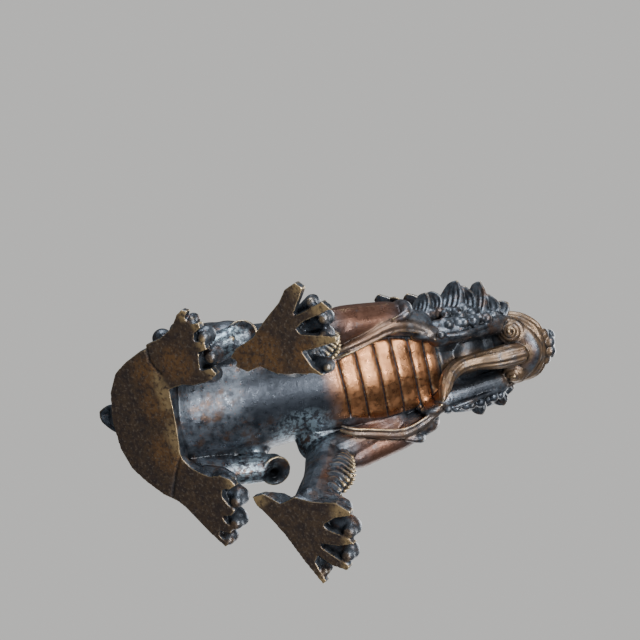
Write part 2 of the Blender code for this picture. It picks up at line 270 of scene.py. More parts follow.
def add_trunk(clay):
    right = all_sided(reversed(RUMP_OUTLINE[1:-1]), -1)
    slab(clay, RUMP_OUTLINE + right, RUMP_WALL, RUMP_DRAW)
    sweep(clay, TORSO, CLOSE_STEPS)
    ball(clay, *THROAT)
    for side in (1, -1):
        sweep(clay, stations_sided(CHEST_SIDES, side), CLOSE_STEPS)
        ball(clay, sided(RIBBON_BED[0], side), RIBBON_BED[1])
        strand(clay, all_sided(RIBBON, side), RIBBON_WIDTHS)
        inner = [(across - CORD_INSET, forward + 0.9, up - 0.6) for across, forward, up in RIBBON]
        strand(clay, all_sided(inner, side), CORD_WIDTHS)


body_clay = bmesh.new()
add_trunk(body_clay)
print("trunk:", len(body_clay.faces), "faces of clay")

# %% [markdown]
# ## Hind legs
# The hind legs are folded under the flank. Each has a smooth round shin that ends in a cupped knee, and a
# broad sole with four toes. A toe is a thick lobe over a narrow strip that touches the ground, so that deep
# gaps show between the toes from below. The two soles have different outlines: they were cut by hand.

# %% Hind legs
SOLE_PLATE = 3.0
THIGH = [((16, -88, 38), 14), ((19, -79, 37), 12.5), ((21, -73, 35), 8.5)]
SHIN = [((23, -92, 7), 7.0), ((26, -76, 16), 6.4)]
KNEE_PLACE = {1: (29.0, -58, 28.0), -1: (-30.5, -63, 25.0)}
KNEE_FACING = {1: (0.05, 0.80, -0.60), -1: (-0.45, 0.45, -0.77)}
KNEE_RADIUS = 5.8
KNEE_STEPS = 28
KNEE_RIM = 0.7
HOCK_CURL = ((34, -89, 8), 4)
HIND_WALL = 8.0
HIND_DRAW = 0.2
HIND_BLOCK = [(15, -86), (19, -75), (21, -68), (31, -67), (42, -69.5), (46, -71), (42, -77), (34, -86),
              (30, -91)]
HIND_SOLE = {
    1: [(13, -83.8), (16.9, -79.7), (20.5, -73.2), (19.2, -66), (20.4, -61.4), (22.8, -59.4), (24.8, -62.5),
        (25.2, -66), (28.5, -66.6), (31.5, -64.4), (34.0, -61.6), (36.4, -63.6), (36.8, -68.0), (39.2, -67.2),
        (42.2, -63.8), (44.4, -65.4), (43.8, -70.6), (46.4, -70.8), (49.4, -67.4), (51.0, -68.6),
        (44.3, -76.4), (35.2, -85.5), (31.4, -91.2), (22, -92)],
    -1: [(22, -92), (33.9, -91.6), (37.1, -83.8), (41.5, -77.8), (46.8, -74.5), (49, -71.8), (48.4, -69.4),
         (44.8, -71.2), (43.4, -68.8), (44.0, -64.8), (42.0, -64.4), (39.6, -67.8), (36.4, -68.2),
         (35.8, -63.6), (33.4, -63.0), (31.6, -68.2), (26.8, -69.6), (24.4, -68.4), (26.0, -62.2),
         (23.6, -60.2), (20.4, -64.6), (18.2, -71.9), (18.1, -78), (20.7, -83.2)],
}
HIND_TOES = {
    1: [((21, -76, 5), (22.4, -65.0, 5.0), 3.0), ((27, -77, 7), (30.4, -62.4, 6.2), 4.4),
        ((35, -78, 7), (40.2, -64.2, 6.0), 4.4), ((41, -78, 6), (48.0, -69.0, 5.2), 3.7)],
    -1: [((20, -76, 5), (21.9, -65.2, 5.4), 3.9), ((27, -77, 6), (29.5, -64.0, 6.0), 4.3),
         ((34, -78, 6), (37.4, -66.0, 5.8), 4.1), ((39, -79, 5), (43.6, -70.4, 5.0), 2.9)],
}


def add_toe(clay, root, tip, radius):
    """A thick toe with a blunt end; its sole plate carries it."""
    root, tip = np.array(root, dtype=float), np.array(tip, dtype=float)
    knuckle = root + (tip - root) * 0.55
    knuckle[2] += 1.6
    end = tip + (tip - root) / np.linalg.norm(tip - root) * 1.2
    end[2] = 2.4
    limb(clay, [(tuple(root), radius), (tuple(knuckle), radius), (tuple(tip), radius * 0.92),
                (tuple(end), radius * 0.6)])


def add_knee(clay, side):
    """A cup with a raised rim at the end of the shin."""
    facing = Vector(KNEE_FACING[side]).normalized()
    centre = Vector(KNEE_PLACE[side])
    wide = facing.cross(Vector((0, 0, 1))).normalized()
    high = facing.cross(wide)
    ring = []
    for step in range(KNEE_STEPS + 1):
        angle = 2 * math.pi * step / KNEE_STEPS
        spot = centre + (wide * math.cos(angle) + high * math.sin(angle)) * KNEE_RADIUS
        ring.append((tuple(spot), KNEE_RIM))
    limb(clay, ring)
    bone(clay, tuple(centre - facing * 5.0), KNEE_RADIUS * 0.9, tuple(centre + facing * 0.2), KNEE_RADIUS)


def add_hind_leg(clay, side):
    limb(clay, stations_sided(THIGH, side))
    knee = Vector(KNEE_PLACE[side]) - Vector(KNEE_FACING[side]).normalized() * 4.0
    limb(clay, stations_sided(SHIN, side) + [(tuple(knee), KNEE_RADIUS)])
    add_knee(clay, side)
    ball(clay, sided(HOCK_CURL[0], side), (HOCK_CURL[1],) * 3)
    slab(clay, all_sided(HIND_BLOCK, side), HIND_WALL, HIND_DRAW)
    plate(clay, all_sided(HIND_SOLE[side], side), SOLE_PLATE)
    for root, tip, radius in HIND_TOES[side]:
        add_toe(clay, sided(root, side), sided(tip, side), radius)


for side in (1, -1):
    add_hind_leg(body_clay, side)
print("with hind legs:", len(body_clay.faces), "faces of clay")

# %% [markdown]
# ## Forelegs and paws
# The forelegs stand straight and end in flat paws with a pointed heel and long toes. On the front of each
# leg a lens of curved ridges stands for a tuft of hair, and a curl sits on the shoulder. The left shoulder
# bulges further out than the right one.

# %% Forelegs
FORELEG = [((31, -29, 7), 8.5), ((29, -34, 23), 7.6), ((27.5, -42, 42), 8.2), ((26, -33, 56), 8.0),
           ((23.5, -24, 71), 7.8)]
ELBOW = [((24, -49, 47), 8.0), ((22, -44, 57), 9.0)]
SHOULDER = [((26, -35, 57), (7.2, 10.5, 11.5)), ((24, -24, 71), (6.8, 9.5, 10.5)),
            ((20, -13, 78), (5.2, 7.5, 7.5))]
SHOULDER_OUT = 3.6
PALM_WALL = 9.0
PALM_DRAW = 0.3
SHOULDER_CURL = [(25, -25, 75), (27.5, -20, 78.5), (28.5, -14.5, 74.5), (27.5, -11, 68), (26, -15, 64)]
TUFT_RIDGES = 11
TUFT_LOW = (27.0, -22.5, 8)
TUFT_HIGH = (26.5, -34.0, 46)
TUFT_WIDTH = 6.2
TUFT_THICKNESS = 4.2
PALM_BLOCK = [(25.5, -46), (27.4, -51), (30, -50), (34.3, -45.5), (41, -39), (49, -33), (53, -28.5),
              (46, -25), (36, -22), (26, -20), (26, -26), (25.5, -33), (28, -40)]
PAW_SOLE = {
    1: [(26.7, -52.3), (24.8, -47), (28.1, -39.5), (24.4, -33.2), (25.5, -25.5), (24.7, -15.6), (27.7, -9.7),
        (29.4, -9.9), (31, -16.4), (34.8, -22.4), (36.6, -20.4), (38.2, -13.9), (41, -9.6), (42.7, -15.8),
        (43.0, -24.6), (44.6, -24.4), (47.8, -18.6), (51.1, -12.6), (53.1, -14.1), (51.9, -20), (47.4, -27.6),
        (50.5, -28.2), (56.4, -25.6), (59.2, -23.8), (60.8, -25.4), (51.6, -32.6), (41.4, -39.7),
        (34.1, -46.2), (30, -51)],
    -1: [(30.7, -52.9), (34.5, -50), (39.2, -41.8), (47.3, -34.6), (53.2, -28.6), (58.2, -25.4), (61, -20.6),
         (58.9, -17.8), (56, -19.2), (48.1, -23.6), (49.7, -20), (54.3, -10.6), (51.5, -7.6), (46.4, -19.3),
         (43.4, -23.0), (41.6, -21.0), (41.3, -6.4), (39.4, -6.6), (35.8, -17.9), (35.2, -21.6), (33, -20.3),
         (29.3, -18), (26.2, -13.2), (27, -23.3), (29.1, -33.5), (29.4, -48.7)],
}
PAW_TOES = {
    1: [((27.5, -27, 6), (28.6, -14.6, 5.0), 3.4), ((34, -29, 7), (37.0, -13.2, 6.0), 4.4),
        ((42, -32, 7), (47.2, -15.2, 5.8), 4.4), ((47.5, -35, 6), (55.2, -26.0, 4.8), 3.2)],
    -1: [((28.0, -27, 5), (28.6, -14.0, 4.6), 3.2), ((35, -28, 7), (40.2, -13.8, 6.0), 3.6),
         ((40, -28, 6), (46.8, -13.0, 5.4), 3.7), ((43, -28, 6), (52.4, -17.2, 5.0), 3.2)],
}


def add_tuft(clay, side):
    """A lens of hair on the front of the leg, ribbed on both its faces."""
    low = np.array(TUFT_LOW, dtype=float)
    high = np.array(TUFT_HIGH, dtype=float)
    axis = (high - low) / np.linalg.norm(high - low)
    wide = np.array((0.0, axis[2], -axis[1]))
    for ridge in range(TUFT_RIDGES):
        share = (ridge + 0.5) / TUFT_RIDGES
        bulge = math.sin(math.pi * (0.08 + 0.84 * share))
        centre = low + (high - low) * share
        ball(clay, sided(tuple(centre - wide * 1.0), side), (TUFT_THICKNESS * bulge, TUFT_WIDTH * 0.8, 3.4))
        for face in (-1, 1):
            out = np.array((face * TUFT_THICKNESS * bulge, 0.0, 0.0))
            back = centre - wide * TUFT_WIDTH * bulge + out * 0.7 - axis * 1.2
            crown = centre + out + axis * 0.9
            front = centre + wide * TUFT_WIDTH * bulge + out * 0.4 - axis * 1.6
            strand(clay, all_sided((back, crown, front), side), (0.7, 0.95, 0.8))


def add_foreleg(clay, side):
    for stations in (FORELEG, ELBOW):
        limb(clay, stations_sided(stations, side))
    out = SHOULDER_OUT if side == 1 else 0.0
    shoulder = [((centre[0] + out, centre[1], centre[2] - out * 0.4), radii) for centre, radii in SHOULDER]
    sweep(clay, stations_sided(shoulder, side), CLOSE_STEPS)
    strand(clay, all_sided(SHOULDER_CURL, side), (1.4, 2.4, 2.4, 1.2))
    add_tuft(clay, side)
    slab(clay, all_sided(PALM_BLOCK, side), PALM_WALL, PALM_DRAW)
    plate(clay, all_sided(PAW_SOLE[side], side), SOLE_PLATE)
    for root, tip, radius in PAW_TOES[side]:
        add_toe(clay, sided(root, side), sided(tip, side), radius)


for side in (1, -1):
    add_foreleg(body_clay, side)
print("with forelegs:", len(body_clay.faces), "faces of clay")

# %% [markdown]
# ## Tail and spine
# These sit at the back. A flame lock is a leaf of five strands that spread from the root and meet at a hooked
# tip, which gives it the grooves of combed hair without any carving.

# %% Flames and tail
LOCK_STEPS = 7
TAIL = [(2, -117, 13), (3, -119, 24), (2, -114, 38), (0, -104.5, 53), (-1, -94, 67)]
TAIL_WIDTHS = (7.5, 8, 8, 7.5, 6.5)
TAIL_LOCKS = [
    ((4, -119, 10), (5, -128, 9.5), 5.8), ((8, -116, 30), (17, -118, 40), 5.0),
    ((-6, -117, 32), (-15, -118, 43), 5.0), ((6, -108, 47), (16, -106, 60), 5.0),
    ((-6, -108, 48), (-15, -105, 62), 5.0), ((3, -95, 63), (9, -92, 80), 5.0),
    ((-4, -95, 63), (-7, -90, 83), 5.0), ((0, -94, 67), (0, -96, 87), 4.6),
]
SPINE_START = (-92, 68)
SPINE_END = (-38, 107)
SPINE_FLAMES = 7
SPINE_RADIUS = 3.6


def lock(clay, root, tip, radius, lift=0.18, hook=0.5):
    """A leaf of hair: five strands that spread from the root and meet at a hooked tip."""
    start = np.array(root, dtype=float)
    end = np.array(tip, dtype=float)
    length = np.linalg.norm(end - start)
    aside = np.cross(end - start, (0.0, 0.0, 1.0))
    if np.linalg.norm(aside) < 1e-3:
        aside = np.array((1.0, 0.0, 0.0))
    aside = aside / np.linalg.norm(aside)
    for lane in range(-2, 3):
        stations = []
        for step in range(LOCK_STEPS + 1):
            share = step / LOCK_STEPS
            spread = math.sin(math.pi * (0.24 + 0.64 * share))
            spot = start + (end - start) * share
            spot = spot + aside * radius * (lane * 0.46 * spread + hook * share ** 2 - hook * 0.4 * share)
            spot[2] += math.sin(math.pi * share) * length * lift * (1.0 - 0.12 * abs(lane))
            width = radius * (0.33 - 0.04 * abs(lane)) * (1.0 - 0.42 * share)
            stations.append((tuple(spot), max(width, 0.55)))
        limb(clay, stations)
    ball(clay, tuple(start + (end - start) * 0.15), (radius * 0.58,) * 3)


def add_back(clay):
    for index in range(SPINE_FLAMES):
        share = index / (SPINE_FLAMES - 1)
        forward = SPINE_START[0] + (SPINE_END[0] - SPINE_START[0]) * share
        up = SPINE_START[1] + (SPINE_END[1] - SPINE_START[1]) * share
        lock(clay, (0, forward + 4, up - 6), (0, forward - 7, up + 4), SPINE_RADIUS)
    strand(clay, TAIL, TAIL_WIDTHS)
    for root, tip, radius in TAIL_LOCKS:
        lock(clay, root, tip, radius)


add_back(body_clay)
print("body clay:", len(body_clay.faces), "faces")

# %% [markdown]
# ## Head
# Seen from below, the head is a flat jaw inside a broad U of lips, with a snail-like curl of hair on either
# side of the chin and one long beard that runs back to the chest. The skull slopes back to two horns. It is
# a second clay with a finer grain, because its detail is the finest on the figure.

# %% Skull, lips and horns
SKULL = [((0, 6, 114), (11.5, 17, 10)), ((0, -4, 119), (11.5, 15, 12)), ((0, 19, 112.5), (8, 12, 7)),
         ((0, 28.3, 115.2), (6.2, 6, 4.6))]
JAW = [((0, 14, 106.5), (14.5, 17, 5.5)), ((0, 22.5, 107), (9.5, 9, 4.6))]
LIP = [(13.5, 10, 108), (13.8, 18, 108.3), (12.2, 24.0, 108.6), (8.2, 28.6, 109), (0, 30.6, 109.4)]
LIP_FOLDS = ((1.07, 0.9, 1.9, 1.2), (0.95, -0.9, -1.3, 0.9), (0.87, -2.4, -2.2, 0.8))
UPPER_LIP = [(12, 9, 112.5), (11, 18, 113), (9.3, 25, 113.5), (5.5, 30, 113.8), (0, 31.5, 114.2)]
NOSE_BUMPS = [((2.0, 32.6, 113.0), 2.7), ((5.6, 30.2, 112.6), 2.7), ((3.6, 31.6, 116.0), 2.8),
              ((7.4, 26.6, 113.6), 2.3), ((0, 31.4, 116.8), 2.4)]
EYE = ((6.8, 14, 117.5), 3.2)
BROW = [(2.4, 21, 118), (5.8, 17.5, 120.5), (7.2, 11, 121.5), (8, 4, 124.5), (7.5, -3, 129.5)]
HORN = [(4, 2, 125), (4.5, -7, 133), (5.5, -17, 139.5), (6.5, -27, 143), (7, -35, 148)]
HORN_WIDTHS = (3.9, 3.5, 2.9, 2.1, 1.4)
EAR = ((10, -4, 121), (19, -14, 127), 4.2)
CHEEK = ((12.5, 5, 109), (4, 9, 6))


def across_the_middle(half):
    """A half path on the left, carried on over the middle to the right."""
    return half + all_sided(reversed(half[:-1]), -1)


def add_skull(clay):
    for centre, radii in SKULL + JAW:
        ball(clay, centre, radii)
    for path in (LIP, UPPER_LIP):
        strand(clay, across_the_middle(path), (1.4, 1.5, 1.4))
    for grow, ahead, rise, width in LIP_FOLDS:
        fold = [(across * grow, forward + ahead, up + rise) for across, forward, up in LIP]
        strand(clay, across_the_middle(fold), (width, width))
    for side in (1, -1):
        strand(clay, all_sided(BROW, side), (1.5, 2.2, 1.2))
        strand(clay, all_sided(HORN, side), HORN_WIDTHS)
        lock(clay, sided(EAR[0], side), sided(EAR[1], side), EAR[2])
        ball(clay, sided(CHEEK[0], side), CHEEK[1])
        for centre, radius in NOSE_BUMPS + [EYE]:
            ball(clay, sided(centre, side), (radius,) * 3)


head_clay = bmesh.new()
add_skull(head_clay)
print("skull:", len(head_clay.faces), "faces of clay")

# %% [markdown]
# ## Beard and chin curls
# The beard is a rope of strands around one centre line. Each chin curl is a cord wound up a cone, like a
# snail's shell.

# %% Beard and curls
BEARD = [(0, 23.5, 103), (0, 19.5, 99.3), (0, 15, 95), (0, 9, 91), (0.6, 3, 85.5), (2.5, 0.5, 79),
         (6, 0.5, 73), (9, 1.5, 68)]
BEARD_WIDTHS = (4.6, 5.2, 4.8, 4.0, 3.6, 3.4, 3.0, 1.4)
BEARD_STRANDS = 10
CURL_CENTRE = (9.3, 19.5, 104.0)
CURL_RADIUS = 5.4
CURL_TURNS = 3.2
CURL_STEPS = 60
CURL_HEIGHT = 4.2
CURL_AXIS = (0.30, 0.25, -0.92)


def add_beard(clay):
    path = flowing(BEARD, 3)
    widths = np.interp(np.linspace(0, 1, len(path)), np.linspace(0, 1, len(BEARD_WIDTHS)), BEARD_WIDTHS)
    for number in range(BEARD_STRANDS):
        angle = 2 * math.pi * number / BEARD_STRANDS + 0.4
        stations = []
        for step, (spot, width) in enumerate(zip(path, widths)):
            ahead = path[min(step + 1, len(path) - 1)] - path[max(step - 1, 0)]
            ahead = ahead / np.linalg.norm(ahead)
            out = np.cross(ahead, (1.0, 0.0, 0.0))
            out = out / np.linalg.norm(out)
            wide = np.cross(ahead, out)
            twist = angle + 0.35 * step / len(path)
            shift = (out * math.cos(twist) + wide * math.sin(twist)) * width * 0.72
            stations.append((tuple(spot + shift), width * 0.27))
        limb(clay, stations)
    limb(clay, [(tuple(spot), width * 0.74) for spot, width in zip(path, widths)])


def add_curl(clay, side):
    axis = Vector(sided(CURL_AXIS, side)).normalized()
    wide = axis.orthogonal().normalized()
    other = axis.cross(wide)
    centre = Vector(sided(CURL_CENTRE, side))
    stations = []
    for step in range(CURL_STEPS + 1):
        share = step / CURL_STEPS
        angle = 2 * math.pi * CURL_TURNS * share * side
        reach = CURL_RADIUS * (1.0 - 0.86 * share)
        out = wide * math.cos(angle) + other * math.sin(angle)
        spot = centre + out * reach + axis * CURL_HEIGHT * share
        stations.append((tuple(spot), 1.0 - 0.3 * share))
    limb(clay, stations)
    ball(clay, tuple(centre + axis * 0.3), (CURL_RADIUS * 0.8, CURL_RADIUS * 0.8, 3.2))


add_beard(head_clay)
for side in (1, -1):
    add_curl(head_clay, side)
print("with beard and curls:", len(head_clay.faces), "faces of clay")

# %% [markdown]
# ## Mane
# Big flame locks stand out beside the neck. Between them and the cord that edges the mane lies a bed of
# small round curls, and more rows of flames cover the back of the neck.

# %% Mane
ROPE = [(16.3, 0, 75.5), (15.4, 4, 78.5), (15.0, 7.6, 82.5), (15.0, 10.2, 88.5), (15.0, 13.6, 94.8),
        (15.0, 16.6, 101.5), (14.6, 18.6, 105.5)]
RUFF = [((14.5, -4.5, 82), (5.8, 5.8, 5.8)), ((14.5, 1.5, 88.6), (5.8, 5.8, 5.8)),
        ((14, 7.0, 95.2), (5.8, 5.8, 5.8)), ((13.5, 12.0, 101.5), (5.6, 5.6, 5.6))]
MANE = [
    ((20, -22, 82), (29, -22, 83), 4.2), ((19, -14, 86), (26.5, -17, 94), 4.8),
    ((19, -9, 88), (27, -13, 98.5), 4.8), ((18, -3, 90), (29, -7, 103), 6.0),
    ((17, 3, 93), (28.5, 0.5, 102.5), 5.0), ((16.5, 7, 96), (28, 2.5, 107), 5.0),
    ((16, 11, 99), (24.5, 10, 104.5), 5.0), ((15, 13, 103), (21, 14.5, 107.5), 4.2),
]
MANE_CURLS = [
    ((18.5, -2, 84), 2.6), ((18.5, 3.5, 86), 2.4), ((18, 8.5, 90), 2.6), ((17.5, 12.5, 95), 2.4),
    ((20.5, -6, 90), 2.6), ((20.5, 0, 92), 2.5), ((19.5, 6, 95), 2.5), ((18.6, 0.8, 82), 1.9),
    ((18.4, 6, 86.5), 1.9), ((20, 3, 90), 2.0), ((18.6, 10, 93), 2.0), ((18, 14, 99), 2.0),
    ((21, -3, 88), 2.1), ((21.5, 2.5, 95.5), 2.2),
]
BACK_MANE_ROWS = [(-11, 128, 19), (-20, 121, 22), (-30, 113, 24)]
BACK_MANE_LOCKS = 7
BACK_MANE_RADIUS = 4.6
BEAD = 1.9


def add_mane(clay):
    for side in (1, -1):
        strand(clay, all_sided(ROPE, side), (1.0, 1.0, 1.0))
        ball(clay, sided(ROPE[0], side), (BEAD,) * 3)
        sweep(clay, stations_sided(RUFF, side))
        for number, (root, tip, radius) in enumerate(MANE):
            lock(clay, sided(root, side), sided(tip, side), radius, hook=0.7 if number % 2 else -0.5)
        for centre, radius in MANE_CURLS:
            ball(clay, sided(centre, side), (radius,) * 3)
    for forward, up, reach in BACK_MANE_ROWS:
        for index in range(BACK_MANE_LOCKS):
            angle = math.radians(-75 + 150 * index / (BACK_MANE_LOCKS - 1))
            out = (math.sin(angle), -math.cos(angle) * 0.7)
            root = (out[0] * reach * 0.5, forward + 4 + out[1] * 4, up - 8 - 6 * abs(out[0]))
            tip = (out[0] * reach, forward - 8 + out[1] * 8, up - 2 - 14 * abs(out[0]))
            lock(clay, root, tip, BACK_MANE_RADIUS)


add_mane(head_clay)
print("head clay:", len(head_clay.faces), "faces")

# %% [markdown]
# ## From clay to one skin
# A voxel remesh fuses the overlapping forms into one closed skin, as melting wax would. The grain is under
# half a millimetre, so the strands stay apart. A little smoothing takes off the steps of the grid.

# %% Fusing
BODY_GRAIN = 0.44
HEAD_GRAIN = 0.38
SOFTENING_PASSES = 3


def fuse(clay, name, grain):
    """The skin of a clay as a mesh."""
    mesh = bpy.data.meshes.new(name)
    clay.to_mesh(mesh)
    clay.free()
    model = bpy.data.objects.new(name, mesh)
    bpy.context.scene.collection.objects.link(model)
    skin = model.modifiers.new("skin", "REMESH")
    skin.mode = "VOXEL"
    skin.voxel_size = grain * SHARE
    soften = model.modifiers.new("soften", "SMOOTH")
    soften.factor = 0.5
    soften.iterations = SOFTENING_PASSES
    graph = bpy.context.evaluated_depsgraph_get()
    fused = bpy.data.meshes.new_from_object(model.evaluated_get(graph))
    bpy.data.objects.remove(model)
    print(name, "fused to", len(fused.polygons), "faces")
    return fused


body_skin = fuse(body_clay, "qilin_body", BODY_GRAIN)
head_skin = fuse(head_clay, "qilin_head", HEAD_GRAIN)

# %% [markdown]
# ## Carving the skin
# Now the lines that are cut, not built: the grooves between the chest plates. The skin's points are read
# into arrays, the groove is worked out for all of them at once, and the points move in by its depth.

# %% Reading and moving the points
def read_points(mesh):
    """Places in shares and outward directions of all points, as across, forward, up."""
    spots = np.empty(len(mesh.vertices) * 3)
    mesh.vertices.foreach_get("co", spots)
    spots = spots.reshape(-1, 3) / SHARE
    spots[:, 1] = MIDDLE_FORWARD - spots[:, 1]
    outward = np.empty(len(mesh.vertices) * 3)
    mesh.vertex_normals.foreach_get("vector", outward)
    outward = outward.reshape(-1, 3)
    outward[:, 1] *= -1.0
    return spots, outward


def write_points(mesh, spots):
    """Puts places in shares back into the mesh."""
    metres = spots.copy()
    metres[:, 1] = MIDDLE_FORWARD - metres[:, 1]
    mesh.vertices.foreach_set("co", (metres * SHARE).reshape(-1))
    mesh.update()


def fade(values, start, end):
    """0 before start, 1 after end, smooth between."""
    share = np.clip((values - start) / (end - start), 0.0, 1.0)
    return share * share * (3.0 - 2.0 * share)


def near(spots, centre, radius):
    """1 at a place, fading to 0 at the radius."""
    return 1.0 - fade(np.linalg.norm(spots - np.array(centre), axis=1), radius * 0.45, radius)


def smoothed(values, ends, neighbours, passes):
    """Values averaged with their neighbours again and again."""
    count = len(values)
    for _ in range(passes):
        total = np.empty_like(values)
        for axis in range(values.shape[1]):
            total[:, axis] = np.bincount(ends[:, 0], values[ends[:, 1], axis], count)
            total[:, axis] += np.bincount(ends[:, 1], values[ends[:, 0], axis], count)
        values = 0.4 * values + 0.6 * total / neighbours[:, None]
    return values


def read_edges(mesh):
    """The two ends of every edge, and how many neighbours each point has."""
    ends = np.empty(len(mesh.edges) * 2, dtype=np.int32)
    mesh.edges.foreach_get("vertices", ends)
    ends = ends.reshape(-1, 2)
    neighbours = np.bincount(ends.reshape(-1), minlength=len(mesh.vertices)).astype(float)
    return ends, neighbours


# %% [markdown]
# The clay still shows where its ellipsoids meet. On the chest, the belly and the shoulders the real skin is
# calm, so those regions are smoothed broadly before anything is carved. The whole skin then gets the slight
# unevenness of a casting that was filed by hand.

# %% Calm regions and casting unevenness
CALM_PASSES = 110
CALM_SPOTS = [
    ((0, -30, 55), 17), ((0, -20, 64), 16), ((0, -42, 44), 20), ((0, -56, 32), 20), ((0, -70, 20), 18),
    ((0, -12, 72), 13), ((26, -38, 60), 15), ((-26, -38, 60), 15), ((24, -50, 50), 13), ((-24, -50, 50), 13),
    ((24, -72, 30), 12), ((-24, -72, 30), 12), ((28, -24, 68), 12), ((-26, -24, 68), 12), ((28, -38, 30), 10),
    ((-28, -38, 30), 10), ((9, -14, 71), 13), ((-9, -14, 71), 13), ((0, -6, 77), 11), ((10, -26, 60), 13),
    ((-10, -26, 60), 13), ((31, -34, 55), 13), ((-29, -34, 55), 13),
]
UNEVEN = ((2.2, 0.018), (12.0, 0.07))


def calm(mesh):
    """Smooths the calm regions broadly, with the framed chest kept inside its ribbons."""
    spots, outward = read_points(mesh)
    ends, neighbours = read_edges(mesh)
    mask = np.zeros(len(spots))
    for centre, radius in CALM_SPOTS:
        mask = np.maximum(mask, near(spots, centre, radius))
    reach = np.interp(spots[:, 2], (45, 60, 76), (15.5, 19.5, 14.0))
    framed = 1.0 - fade(np.abs(spots[:, 0]), reach - 1.5, reach + 0.5)
    front = fade(outward[:, 1] - outward[:, 2], 0.2, 0.6) * (spots[:, 2] > 42) * (spots[:, 2] < 82)
    mask = np.where(front > 0.5, mask * framed, mask)
    mask = mask * fade(spots[:, 2], 3.0, 6.0)
    broad = smoothed(spots, ends, neighbours, CALM_PASSES)
    write_points(mesh, spots + (broad - spots) * mask[:, None])
    print(mesh.name, "calmed")


def make_uneven(mesh):
    """Moves the skin in and out by soft noise."""
    spots, outward = read_points(mesh)
    depth = np.zeros(len(spots))
    for size, height in UNEVEN:
        depth += height * np.array([noise.noise(Vector(spot) / size) for spot in spots])
    write_points(mesh, spots + outward * depth[:, None])
    print(mesh.name, "made uneven")


calm(body_skin)
for skin in (body_skin, head_skin):
    make_uneven(skin)

# %% Chest plates
PLATE_LINES = [(-34.7, 51.3), (-27.7, 54.9), (-21.7, 60.5), (-16.5, 66.0), (-10.8, 70.5), (-6.3, 74.8)]
PLATE_SKEW = 0.14
PLATE_EDGE = 17.4
GROOVE_HALF = 0.62
GROOVE_DEPTH = 0.85
PLATE_SWELL = 0.25


def chest_line():
    """The first plate line and the direction from it to the last one, as forward and up."""
    start = np.array(PLATE_LINES[0])
    along = np.array(PLATE_LINES[-1]) - start
    return start, along / np.linalg.norm(along)


def chest_measure(spots):
    """How far along the chest each point lies, and how far inside its frame."""
    start, along = chest_line()
    outward = np.array((along[1], -along[0]))
    across = spots[:, 0]
    offset = np.stack((spots[:, 1] - PLATE_SKEW * across, spots[:, 2]), axis=1) - start
    travel = offset @ along
    height = offset @ outward
    edge = PLATE_EDGE + 4.2 * np.sin(math.pi * np.clip(travel / 40.0, 0.0, 1.0)) - 4.0
    inside = (edge - np.abs(across)) * (np.abs(height) < 10.0)
    return travel, inside


def plate_marks():
    """Where along the chest the grooves lie."""
    start, along = chest_line()
    marks = [float((np.array(line) - start) @ along) for line in PLATE_LINES]
    return marks + [marks[-1] + 5.5]


def carve_chest(mesh):
    """Cuts the grooves and lets each plate swell a little between them."""
    spots, outward = read_points(mesh)
    travel, inside = chest_measure(spots)
    marks = plate_marks()
    gap = np.min([np.abs(travel - mark) for mark in marks], axis=0)
    end = 1.0 - fade(travel, marks[-1] + 1, marks[-1] + 3)
    window = fade(inside, 0.0, 1.5) * fade(travel, -2.5, -1.0) * end
    facing = fade(outward[:, 1] - outward[:, 2], 0.2, 0.6)
    groove = np.clip(1.0 - gap / GROOVE_HALF, 0.0, 1.0) * GROOVE_DEPTH
    swell = PLATE_SWELL * fade(gap, 0.3, 2.2)
    depth = (swell - groove) * window * facing
    write_points(mesh, spots + outward * depth[:, None])
    print("chest plates carved on", int((groove * window * facing > 0.1).sum()), "points")


carve_chest(body_skin)

# %% Knee caps and the seams under the rump
KNEE_DENT = 1.1
CASTING_HOLE = ((30.0, -57.2, 26.0), 2.7, 5.0)
RUMP_SEAMS = [((-34, -91.6), (-27, -91.0)), ((-27, -91.0), (-22, -86.5)), ((31.5, -91.2), (22, -88)),
              ((22, -88), (13, -84))]
SEAM_WIDTH = 1.1
SEAM_DEPTH = 0.55


def carve_knees(mesh):
    """Dents both knee caps and opens the casting hole in the left one."""
    spots = read_points(mesh)[0]
    for side in (1, -1):
        facing = np.array(Vector(KNEE_FACING[side]).normalized())
        offset = spots - np.array(KNEE_PLACE[side])
        height = offset @ facing
        reach = np.linalg.norm(offset - height[:, None] * facing, axis=1)
        inside = (np.abs(height) < 2.6) * (1.0 - fade(reach, KNEE_RADIUS * 0.35, KNEE_RADIUS * 0.86))
        spots = spots - facing * (KNEE_DENT * inside)[:, None]
        if side == 1:
            centre, radius, depth = CASTING_HOLE
            away = np.linalg.norm(spots - np.array(centre), axis=1)
            spots = spots - facing * (depth * (1.0 - fade(away, radius * 0.5, radius)))[:, None]
    write_points(mesh, spots)


def carve_seams(mesh):
    """Cuts thin lines into the flat underside of the rump."""
    spots, outward = read_points(mesh)
    ground = spots[:, :2]
    nearest = np.full(len(spots), 99.0)
    for start, end in RUMP_SEAMS:
        start = np.array(start)
        along = np.array(end) - start
        share = np.clip(((ground - start) @ along) / (along @ along), 0.0, 1.0)
        nearest = np.minimum(nearest, np.linalg.norm(ground - start - share[:, None] * along, axis=1))
    flat = (spots[:, 2] < 1.0) * fade(-outward[:, 2], 0.5, 0.9)
    spots[:, 2] += SEAM_DEPTH * flat * np.clip(1.0 - nearest / SEAM_WIDTH, 0.0, 1.0)
    write_points(mesh, spots)


carve_knees(body_skin)
carve_seams(body_skin)
print("knees and seams carved")
